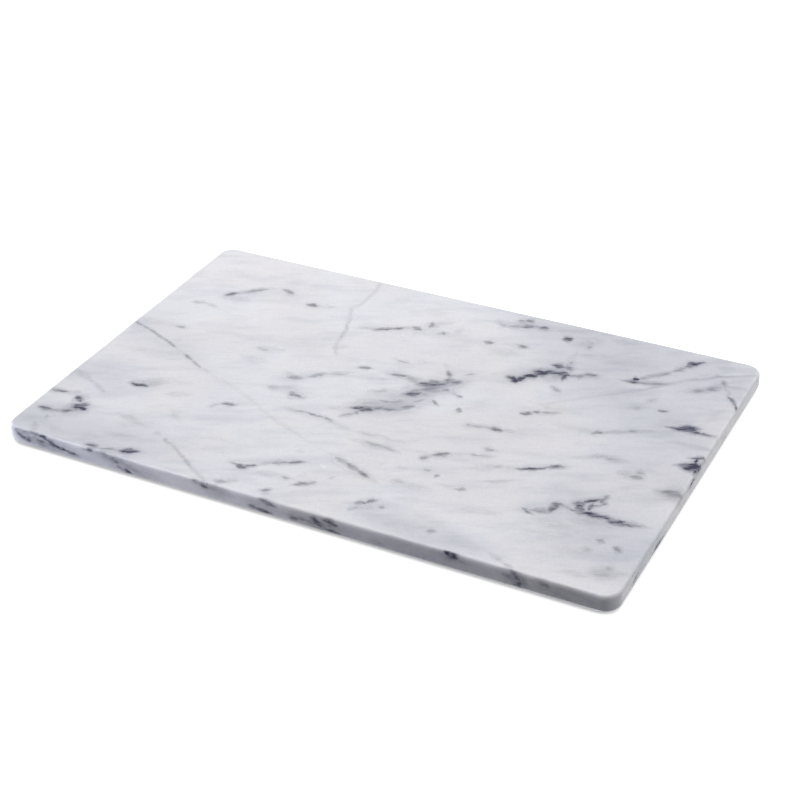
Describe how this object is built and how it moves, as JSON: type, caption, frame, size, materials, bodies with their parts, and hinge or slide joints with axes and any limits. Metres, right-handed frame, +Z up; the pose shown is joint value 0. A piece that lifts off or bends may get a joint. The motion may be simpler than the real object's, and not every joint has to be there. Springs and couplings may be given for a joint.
{
  "type": "marble pastry board",
  "caption": "Flat rectangular polished marble slab with rounded corners and eased edges on low non-slip feet, a cool surface for rolling pastry and dough.",
  "frame": {"origin": "middle of the board, on the surface that the feet stand on", "axes": "+X along the long side to the right, +Y to the back, +Z up through the working face"},
  "size_m": [0.46, 0.3, 0.0148],
  "materials": {
    "marble": "polished",
    "foot_rubber": "satin",
    "adhesive": "matte"
  },
  "bodies": {
    "root": {"marble_slab": "marble", "foot_front_left": "foot_rubber", "foot_front_right": "foot_rubber", "foot_back_left": "foot_rubber", "foot_back_right": "foot_rubber", "adhesive_disc_front_left": "adhesive", "adhesive_disc_front_right": "adhesive", "adhesive_disc_back_left": "adhesive", "adhesive_disc_back_right": "adhesive"}
  },
  "joints": []
}
